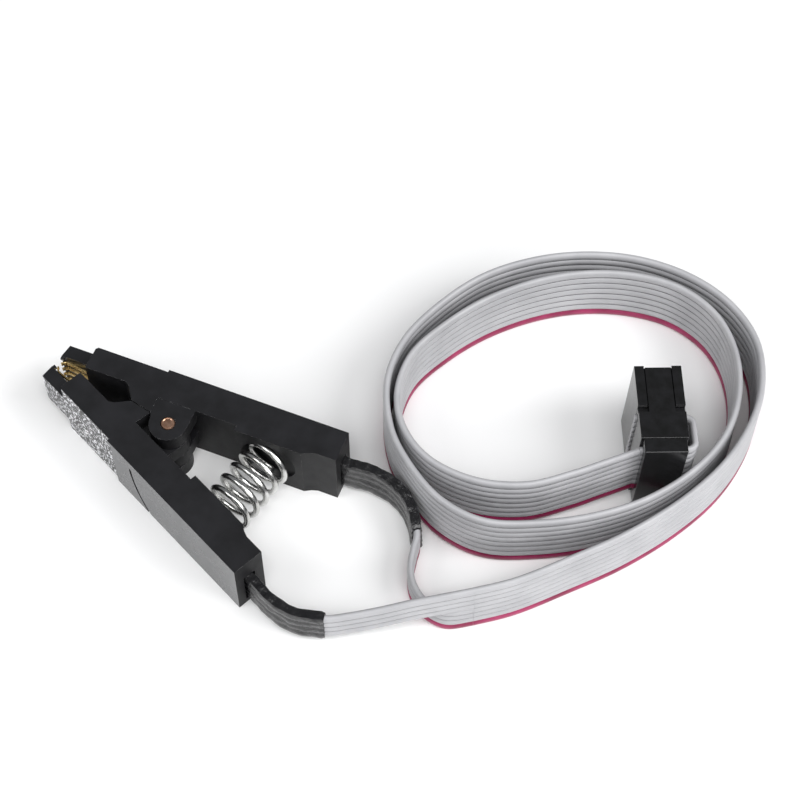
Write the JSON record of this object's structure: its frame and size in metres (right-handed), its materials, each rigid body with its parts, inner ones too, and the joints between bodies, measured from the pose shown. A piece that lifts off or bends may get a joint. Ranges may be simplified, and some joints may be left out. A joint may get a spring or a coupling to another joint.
{
  "type": "ic test clip",
  "caption": "Spring test clip for a surface-mount chip, lying on its side, with sleeved leads joined into a coiled flat ribbon cable and a pin header socket.",
  "frame": {"origin": "on the pivot axis, in the side face that the clip lies on", "axes": "+X runs from the jaws to the tails along the middle of the clip, +Y towards the upper arm, +Z along the pivot axis, up from the side that it lies on"},
  "size_m": [0.0815, 0.071, 0.014],
  "materials": {
    "arm": "moulded, fine grain",
    "pin": "coppered",
    "spring": "nickel plated",
    "contact": "gold plated",
    "sleeve": "shrunk and wrinkled",
    "ribbon": "satin",
    "socket": "satin"
  },
  "bodies": {
    "base": {"lower_arm": "arm", "pivot_pin": "pin", "spring": "spring", "lower_contact_1": "contact", "lower_contact_2": "contact", "lower_contact_3": "contact", "lower_contact_4": "contact", "lower_sleeve": "sleeve", "upper_sleeve": "sleeve", "lower_lead": "ribbon", "upper_lead": "ribbon", "ribbon": "ribbon", "ribbon_fold": "ribbon", "socket_body": "socket", "socket_cap": "socket", "strain_relief": "socket", "socket_contact_1": "contact", "socket_contact_2": "contact", "socket_contact_3": "contact", "socket_contact_4": "contact", "socket_contact_5": "contact", "socket_contact_6": "contact", "socket_contact_7": "contact", "socket_contact_8": "contact"},
    "lever": {"upper_arm": "arm", "upper_contact_1": "contact", "upper_contact_2": "contact", "upper_contact_3": "contact", "upper_contact_4": "contact"}
  },
  "joints": [
    {"name": "jaw_pivot", "type": "hinge", "parent": "base", "child": "lever", "pos_m": [0, 0, 0.005], "axis": [0, 0, -1], "range_deg": [0, 26], "stiffness_Nm_per_rad": 0.35, "springref_deg": -17.19, "deforming": ["spring"]}
  ]
}
